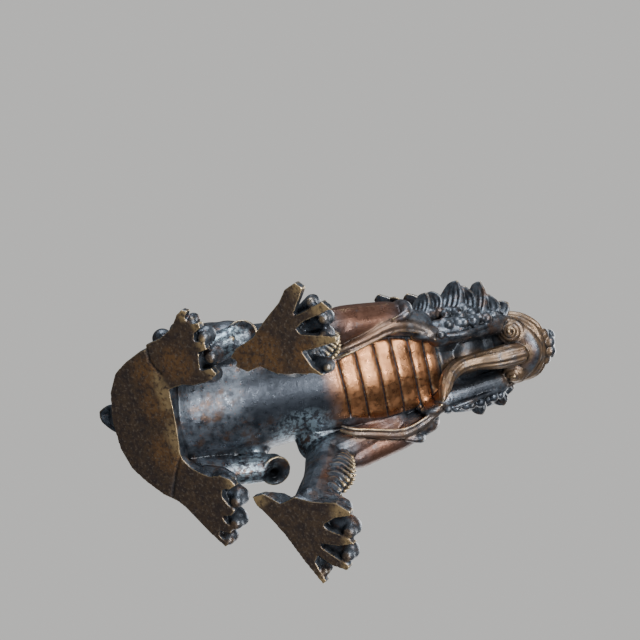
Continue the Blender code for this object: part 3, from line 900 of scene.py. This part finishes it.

# %% [markdown]
# ## Where the bronze is worn, and where shade is painted
# Every point gets a few values between 0 and 1: how far it stands out from its surroundings, how deep it
# lies in a hollow, whether it is on a sole, and which tone its patch of the skin has. The edges are worked
# out from the shape itself, so wear follows the form as on a piece that has long been handled. The hollows
# are worked out from the shape too, and get painted shade: they are darkened as if shade lay in them. The
# patches of tone are given one by one; the patches named shade are painted shade.

# %% Wear values and painted shade
EDGE_PASSES = 6
HOLLOW_PASSES = 40
# Painted shade: recesses on both sides of the throat, under the beard, are darkened.
SHADED_RECESSES = [((8, 5, 92), 9), ((9, 11, 99), 8), ((7, 0, 86), 8)]
BLOOM_PLACES = [((17, -50, 40), 16), ((28, -66, 22), 13), ((-32, -66, 18), 12)]
# Painted shade: dark patches where shade falls on the middle of the belly, the left elbow, the left knee cap
# and the left side of the neck.
SHADE_PLACES = [((-3, -47, 40), 20), ((-3, -60, 29), 14), ((24, -50, 48), 10), ((29, -57, 26), 6),
                ((15, 6, 92), 11)]
GILT_PLACES = [((0, -85.0, 0), 3.4), ((10, -84.4, 0), 3.2), ((-9, -86, 0), 3.4), ((-20, -88.5, 0), 3.4),
               ((29, -13, 0), 6), ((60, -24, 0), 5), ((-59, -18, 0), 6), ((-40.5, -9, 0), 8),
               ((-52, -10, 0), 7), ((-26, -15, 0), 5), ((27, -50, 0), 5), ((52, -13, 0), 4), ((41, -11, 0), 4),
               ((22, -60, 0), 5), ((5, -85, 0), 5), ((-14, -86.5, 0), 5), ((-48, -71, 0), 5),
               ((-43, -65, 0), 4), ((-25, -61, 0), 5), ((-35, -64, 0), 4)]
AMBER_PLACES = [((-31, -40, 0), 15), ((-33, -18, 0), 10), ((-27, -78, 0), 10), ((-8, -91, 0), 10),
                ((12, -90, 0), 11), ((-22, -94, 0), 9)]
TONE_AND_SHADE_PLACES = {"bloom": BLOOM_PLACES, "shade": SHADE_PLACES, "amber": AMBER_PLACES, "gilt": GILT_PLACES}
RUDDY_SIDES = [((31, -30, 62), 22), ((-29, -30, 62), 23), (TAIL[1], 15)]
RUDDY_CHIN = ((0, 22, 104), 9)
# Depth of a hollow that gets the full painted shade, for the body and for the head.
BODY_HOLLOW = 0.8
HEAD_HOLLOW = 0.42


def close_to(spots, path, reach):
    """1 on a path, fading to 0 at the reach."""
    gap = np.full(len(spots), 99.0)
    for spot in path:
        gap = np.minimum(gap, np.linalg.norm(spots - np.array(spot), axis=1))
    return 1.0 - fade(gap, reach * 0.72, reach)


def strongest(spots, places):
    """The highest nearness to any of the places."""
    return np.max([near(spots, centre, radius) for centre, radius in places], axis=0)


def store(mesh, name, values):
    """Keeps one value per point as an attribute that materials can read."""
    layer = mesh.attributes.new(name, "FLOAT", "POINT")
    layer.data.foreach_set("value", np.clip(values, 0.0, 1.0).astype(np.float32))


def mark_wear_and_shade(mesh, depth):
    """Stores every wear value and the painted shade; hollows of the given depth get the full painted shade."""
    spots, outward = read_points(mesh)
    ends, neighbours = read_edges(mesh)
    fine = smoothed(spots, ends, neighbours, EDGE_PASSES)
    broad = smoothed(fine, ends, neighbours, HOLLOW_PASSES)
    crest = ((spots - fine) * outward).sum(axis=1)
    rise = ((fine - broad) * outward).sum(axis=1)
    sole = (1.0 - fade(spots[:, 2], 0.25, 0.9)) * fade(-outward[:, 2], 0.35, 0.8)
    # The casting hole in the left knee is painted fully dark as shade, and its rim gets no worn gold.
    pit_shade = near(spots, CASTING_HOLE[0], CASTING_HOLE[1] + 3.4)
    store(mesh, "edge", fade(crest, 0.08, 0.25) * (1.0 - pit_shade))
    # Painted shade: hollows darken with their depth, recesses under the beard darken where they face down, and
    # the casting hole goes fully dark.
    recess_shade = np.zeros(len(spots))
    for side in (1, -1):
        for centre, radius in SHADED_RECESSES:
            recess_shade = np.maximum(recess_shade, near(spots, sided(centre, side), radius))
    under_beard = fade(-outward[:, 2] + outward[:, 1], 0.0, 0.5)
    low = np.maximum(fade(-crest * 1.5 - rise, 0.03, depth), recess_shade * under_beard * 0.8)
    store(mesh, "hollow_shade", np.maximum(low, pit_shade))
    store(mesh, "sole", sole)
    travel, inside = chest_measure(spots)
    last = plate_marks()[-1]
    chest = fade(inside, 0.0, 1.6) * fade(travel, -9.0, 1.0) * (1.0 - fade(travel, last - 3, last + 1))
    chest *= fade(outward[:, 1] - outward[:, 2], 0.2, 0.7)
    store(mesh, "copper", chest)
    chin = near(spots, *RUDDY_CHIN) * fade(-outward[:, 2], 0.2, 0.6)
    store(mesh, "ruddy", np.maximum(strongest(spots, RUDDY_SIDES), chin))
    for name, places in TONE_AND_SHADE_PLACES.items():
        store(mesh, name, strongest(spots, places))
    rubbed = close_to(spots, flowing(BEARD, 4), 6.0)
    rubbed = np.maximum(rubbed, close_to(spots, flowing(across_the_middle(LIP), 4), 4.6))
    for side in (1, -1):
        rubbed = np.maximum(rubbed, near(spots, sided(CURL_CENTRE, side), 8.5))
        ribbon = all_sided(flowing(RIBBON, 4), side)
        rubbed = np.maximum(rubbed, close_to(spots, ribbon, 3.4) * 0.5)
    store(mesh, "rubbed", rubbed)
    print(mesh.name, "wear marked on", len(spots), "points")


mark_wear_and_shade(body_skin, BODY_HOLLOW)
mark_wear_and_shade(head_skin, HEAD_HOLLOW)

# %% [markdown]
# ## Thinning the skin
# The grid has points everywhere, also where the surface is plain. Collapsing edges keeps the form and spends
# the faces where the carving is.

# %% Pieces
FACE_LIMIT = 190000


def finish_piece(mesh, name, limit):
    """A thinned, smoothly shaded piece that stands for the solid."""
    mesh.polygons.foreach_set("use_smooth", [True] * len(mesh.polygons))
    loose = bpy.data.objects.new(name, mesh)
    bpy.context.scene.collection.objects.link(loose)
    triangles = sum(len(face.vertices) - 2 for face in mesh.polygons)
    thin = loose.modifiers.new("thin", "DECIMATE")
    thin.ratio = min(1.0, limit / triangles)
    thin.use_collapse_triangulate = True
    loose.modifiers.new("even shading", "WEIGHTED_NORMAL")
    graph = bpy.context.evaluated_depsgraph_get()
    done = bpy.data.meshes.new_from_object(loose.evaluated_get(graph))
    bpy.data.objects.remove(loose)
    done.name = name
    done.validate()
    done.materials.clear()
    piece = bpy.data.objects.new(name, done)
    bpy.context.scene.collection.objects.link(piece)
    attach(piece, "root")
    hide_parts("qilin")
    print(name, "has", len(done.polygons), "faces")
    return piece


body = finish_piece(body_skin, "qilin_body", FACE_LIMIT)
head = finish_piece(head_skin, "qilin_head", FACE_LIMIT)

# %% [markdown]
# ## The bronze
# Old bronze is three things at once: a grey-blue skin in the hollows and on the belly, warm brown and copper
# where hands have rubbed it, and bare golden metal on the edges. Painted shade is laid over them: near black
# in the hollows and dark skin on a few shaded patches. One small node group makes the noise masks that break
# up each layer; the mixing and the shader stay in the material.

# %% Node helpers
def patch_group():
    """A mask of soft patches: 0 and 1 areas with ragged borders."""
    group = bpy.data.node_groups.new("ragged_patches", "ShaderNodeTree")
    for label, value in (("Scale", 40.0), ("Amount", 0.5), ("Softness", 0.12)):
        socket = group.interface.new_socket(name=label, in_out="INPUT", socket_type="NodeSocketFloat")
        socket.default_value = value
    group.interface.new_socket(name="Mask", in_out="OUTPUT", socket_type="NodeSocketFloat")
    nodes = group.nodes
    links = group.links
    entry = nodes.new("NodeGroupInput")
    leave = nodes.new("NodeGroupOutput")
    where = nodes.new("ShaderNodeTexCoord")
    cloud = nodes.new("ShaderNodeTexNoise")
    cloud.inputs["Detail"].default_value = 9.0
    cloud.inputs["Roughness"].default_value = 0.68
    links.new(where.outputs["Object"], cloud.inputs["Vector"])
    links.new(entry.outputs["Scale"], cloud.inputs["Scale"])
    flip = nodes.new("ShaderNodeMath")
    flip.operation = "SUBTRACT"
    flip.inputs[0].default_value = 1.0
    links.new(entry.outputs["Amount"], flip.inputs[1])
    ramp = nodes.new("ShaderNodeMapRange")
    ramp.interpolation_type = "SMOOTHSTEP"
    links.new(cloud.outputs["Fac"], ramp.inputs["Value"])
    for kind, border in (("SUBTRACT", "From Min"), ("ADD", "From Max")):
        shift = nodes.new("ShaderNodeMath")
        shift.operation = kind
        links.new(flip.outputs[0], shift.inputs[0])
        links.new(entry.outputs["Softness"], shift.inputs[1])
        links.new(shift.outputs[0], ramp.inputs[border])
    links.new(ramp.outputs["Result"], leave.inputs["Mask"])
    return group


PATCHES = patch_group()
print("node group:", PATCHES.name)


class Mixer:
    """Adds nodes to one material and chains colour layers."""

    def __init__(self, material):
        self.nodes = material.node_tree.nodes
        self.links = material.node_tree.links

    def patches(self, scale, amount, softness=0.08):
        node = self.nodes.new("ShaderNodeGroup")
        node.node_tree = PATCHES
        node.inputs["Scale"].default_value = scale
        node.inputs["Amount"].default_value = amount
        node.inputs["Softness"].default_value = softness
        return node.outputs["Mask"]

    def value(self, name):
        node = self.nodes.new("ShaderNodeAttribute")
        node.attribute_name = name
        return node.outputs["Fac"]

    def math(self, kind, first, second):
        node = self.nodes.new("ShaderNodeMath")
        node.operation = kind
        node.use_clamp = True
        for socket, source in zip(node.inputs, (first, second)):
            if isinstance(source, (int, float)):
                socket.default_value = source
            else:
                self.links.new(source, socket)
        return node.outputs[0]

    def layer(self, below, above, mask):
        node = self.nodes.new("ShaderNodeMix")
        node.data_type = "RGBA"
        for name, source in (("A", below), ("B", above)):
            socket = [entry for entry in node.inputs if entry.name == name and entry.type == "RGBA"][0]
            if isinstance(source, tuple):
                socket.default_value = (*source, 1.0)
            else:
                self.links.new(source, socket)
        self.links.new(mask, node.inputs["Factor"])
        return [entry for entry in node.outputs if entry.type == "RGBA"][0]

    def part_layer(self, below, above, mask, share):
        """A layer whose mask is multiplied by a share or by another mask."""
        return self.layer(below, above, self.math("MULTIPLY", mask, share))

    def between(self, low, high, mask):
        node = self.nodes.new("ShaderNodeMapRange")
        node.inputs["To Min"].default_value = low
        node.inputs["To Max"].default_value = high
        self.links.new(mask, node.inputs["Value"])
        return node.outputs["Result"]


# %% The bronze material
SKIN_DARK = (0.028, 0.035, 0.047)
SKIN_GREY = (0.125, 0.148, 0.180)
WARM_BROWN = (0.105, 0.060, 0.036)
COPPER = (0.40, 0.19, 0.09)
COPPER_DARK = (0.20, 0.088, 0.045)
RUDDY = (0.125, 0.062, 0.042)
SOLE_BROWN = (0.145, 0.100, 0.067)
SOLE_DARK = (0.068, 0.053, 0.052)
SOLE_AMBER = (0.27, 0.150, 0.068)
SOLE_GILT = (0.52, 0.37, 0.19)
SOLE_PALE = (0.34, 0.28, 0.22)
BARE_GOLD = (0.80, 0.62, 0.36)
RUBBED = (0.175, 0.118, 0.074)
BLOOM = (0.24, 0.32, 0.38)
# Near black, used as painted shade in the hollows.
PAINTED_SHADE_BLACK = (0.010, 0.012, 0.015)
BODY_EDGE_WEAR = 0.62
HEAD_EDGE_WEAR = 0.72


def old_bronze(name, edge_wear):
    """The material of one piece; edge_wear is the share of its edges that is rubbed bare."""
    material = bpy.data.materials.new(name)
    material.use_nodes = True
    mix = Mixer(material)
    shader = material.node_tree.nodes["Principled BSDF"]
    names = ("edge", "hollow_shade", "sole", "shade", "copper", "ruddy", "bloom", "amber", "gilt", "rubbed")
    edge, hollow_shade, sole, shade, copper, ruddy, bloom, amber, gilt, rubbed = map(mix.value, names)

    colour = mix.layer(SKIN_DARK, SKIN_GREY, mix.patches(210.0, 0.50, 0.16))
    colour = mix.part_layer(colour, WARM_BROWN, mix.patches(120.0, 0.42, 0.08), 0.75)
    colour = mix.part_layer(colour, COPPER_DARK, mix.patches(620.0, 0.38, 0.03), 0.55)
    colour = mix.part_layer(colour, RUDDY, ruddy, mix.patches(190.0, 0.66, 0.12))
    # Painted shade: dark skin on the patches where shade falls.
    colour = mix.part_layer(colour, SKIN_DARK, shade, mix.patches(240.0, 0.76, 0.14))
    tone = mix.layer(COPPER_DARK, COPPER, mix.patches(520.0, 0.62, 0.22))
    plates = mix.math("SUBTRACT", copper, mix.math("MULTIPLY", hollow_shade, 1.3))
    colour = mix.layer(colour, tone, plates)
    colour = mix.part_layer(colour, BLOOM, bloom, mix.patches(420.0, 0.48, 0.06))
    colour = mix.part_layer(colour, RUBBED, rubbed, mix.patches(330.0, 0.60, 0.16))
    under = mix.layer(SOLE_DARK, SOLE_BROWN, mix.patches(150.0, 0.54, 0.16))
    under = mix.part_layer(under, SOLE_AMBER, amber, mix.patches(170.0, 0.58, 0.14))
    under = mix.part_layer(under, SOLE_DARK, mix.patches(480.0, 0.46, 0.08), 0.8)
    under = mix.part_layer(under, SOLE_PALE, mix.patches(700.0, 0.42, 0.05), 0.55)
    under = mix.part_layer(under, SOLE_GILT, gilt, mix.patches(420.0, 0.55, 0.08))
    colour = mix.layer(colour, under, sole)
    # Painted shade: the hollows are darkened towards black.
    colour = mix.part_layer(colour, PAINTED_SHADE_BLACK, hollow_shade, 0.9)
    worn = mix.math("MULTIPLY", edge, mix.patches(240.0, edge_wear, 0.16))
    colour = mix.layer(colour, BARE_GOLD, worn)
    mix.links.new(colour, shader.inputs["Base Color"])

    mix.links.new(mix.between(0.72, 1.0, mix.math("MAXIMUM", plates, worn)), shader.inputs["Metallic"])
    rough = mix.between(0.24, 0.46, mix.patches(360.0, 0.5, 0.2))
    mix.links.new(rough, shader.inputs["Roughness"])

    where = mix.nodes.new("ShaderNodeTexCoord")
    grain = mix.nodes.new("ShaderNodeTexNoise")
    grain.inputs["Scale"].default_value = 700.0
    grain.inputs["Detail"].default_value = 7.0
    grain.inputs["Roughness"].default_value = 0.72
    mix.links.new(where.outputs["Object"], grain.inputs["Vector"])
    bump = mix.nodes.new("ShaderNodeBump")
    bump.inputs["Strength"].default_value = 0.3
    bump.inputs["Distance"].default_value = 0.0005
    mix.links.new(grain.outputs["Fac"], bump.inputs["Height"])
    mix.links.new(bump.outputs["Normal"], shader.inputs["Normal"])
    return material


body.data.materials.append(old_bronze("old_bronze_body", BODY_EDGE_WEAR))
head.data.materials.append(old_bronze("old_bronze_head", HEAD_EDGE_WEAR))
print("materials:", [material.name for material in bpy.data.materials])

# %% [markdown]
# ## Floor and light
# The floor is plain and pale. The camera looks up through it, so its material is clear from below. The light
# is soft: a key from the front that gives the chest and the belly their highlight, weaker lights from both
# sides, and a top light for the views from above.

# %% Floor
FLOOR_SIZE = 3.0
FLOOR_DROP = 0.0004
FLOOR_TONE = (0.62, 0.61, 0.59)

sheet = bmesh.new()
bmesh.ops.create_grid(sheet, x_segments=1, y_segments=1, size=FLOOR_SIZE / 2)
bmesh.ops.translate(sheet, verts=sheet.verts, vec=(0, 0, -FLOOR_DROP))
floor_mesh = bpy.data.meshes.new("floor")
sheet.to_mesh(floor_mesh)
sheet.free()
floor = bpy.data.objects.new("floor", floor_mesh)
bpy.context.scene.collection.objects.link(floor)
floor_paint = bpy.data.materials.new("floor_paint")
floor_paint.use_nodes = True
paint_nodes = floor_paint.node_tree.nodes
paint_links = floor_paint.node_tree.links
paint = paint_nodes["Principled BSDF"]
paint.inputs["Base Color"].default_value = (*FLOOR_TONE, 1.0)
paint.inputs["Roughness"].default_value = 0.9
clear = paint_nodes.new("ShaderNodeBsdfTransparent")
facing = paint_nodes.new("ShaderNodeNewGeometry")
choice = paint_nodes.new("ShaderNodeMixShader")
paint_links.new(facing.outputs["Backfacing"], choice.inputs["Fac"])
paint_links.new(paint.outputs["BSDF"], choice.inputs[1])
paint_links.new(clear.outputs["BSDF"], choice.inputs[2])
paint_links.new(choice.outputs["Shader"], paint_nodes["Material Output"].inputs["Surface"])
floor_mesh.materials.append(floor_paint)
floor.visible_shadow = False
floor.visible_diffuse = False
floor.visible_glossy = False
print("floor:", FLOOR_SIZE, "m square")

# %% Lights
def soft_light(name, direction, distance, size, power, tint=(1.0, 1.0, 1.0)):
    """A square area light that looks at the middle of the figure."""
    middle = place(0, -45, 60)
    toward = Vector(direction).normalized()
    data = bpy.data.lights.new(name, "AREA")
    data.shape = "SQUARE"
    data.size = size
    data.energy = power
    data.color = tint
    lamp = bpy.data.objects.new(name, data)
    lamp.matrix_world = (Matrix.Translation(middle + toward * distance)
                         @ toward.to_track_quat("Z", "Y").to_matrix().to_4x4())
    lamp.visible_camera = False
    bpy.context.scene.collection.objects.link(lamp)


soft_light("key", (-0.06, -0.80, -0.59), 0.9, 0.13, 6.0, (1.0, 0.98, 0.96))
soft_light("side", (-0.60, -0.746, -0.285), 0.9, 0.34, 9.0, (1.0, 0.97, 0.94))
soft_light("fill", (0.35, -0.35, -0.87), 1.1, 0.7, 1.6, (0.90, 0.95, 1.0))
soft_light("left", (1.0, 0.25, 0.45), 1.1, 0.8, 5.0)
soft_light("picture_top", (-0.95, 0.15, 0.15), 0.9, 0.5, 8.0, (0.92, 0.96, 1.0))
soft_light("overhead", (0.2, -0.2, 1.0), 1.1, 0.9, 14.0)

# %% World
BACKDROP_TONE = (0.60, 0.595, 0.58)
ROOM_TONE = (0.5, 0.52, 0.55)
ROOM_STRENGTH = 0.22

world = bpy.data.worlds.new("studio")
world.use_nodes = True
bpy.context.scene.world = world
sky_nodes = world.node_tree.nodes
sky_links = world.node_tree.links
room = sky_nodes["Background"]
room.inputs["Color"].default_value = (*ROOM_TONE, 1.0)
room.inputs["Strength"].default_value = ROOM_STRENGTH
backdrop = sky_nodes.new("ShaderNodeBackground")
backdrop.inputs["Color"].default_value = (*BACKDROP_TONE, 1.0)
rays = sky_nodes.new("ShaderNodeLightPath")
blend = sky_nodes.new("ShaderNodeMixShader")
sky_links.new(rays.outputs["Is Camera Ray"], blend.inputs["Fac"])
sky_links.new(room.outputs["Background"], blend.inputs[1])
sky_links.new(backdrop.outputs["Background"], blend.inputs[2])
sky_links.new(blend.outputs["Shader"], sky_nodes["World Output"].inputs["Surface"])
print("world: pale to the camera, dim to the metal")
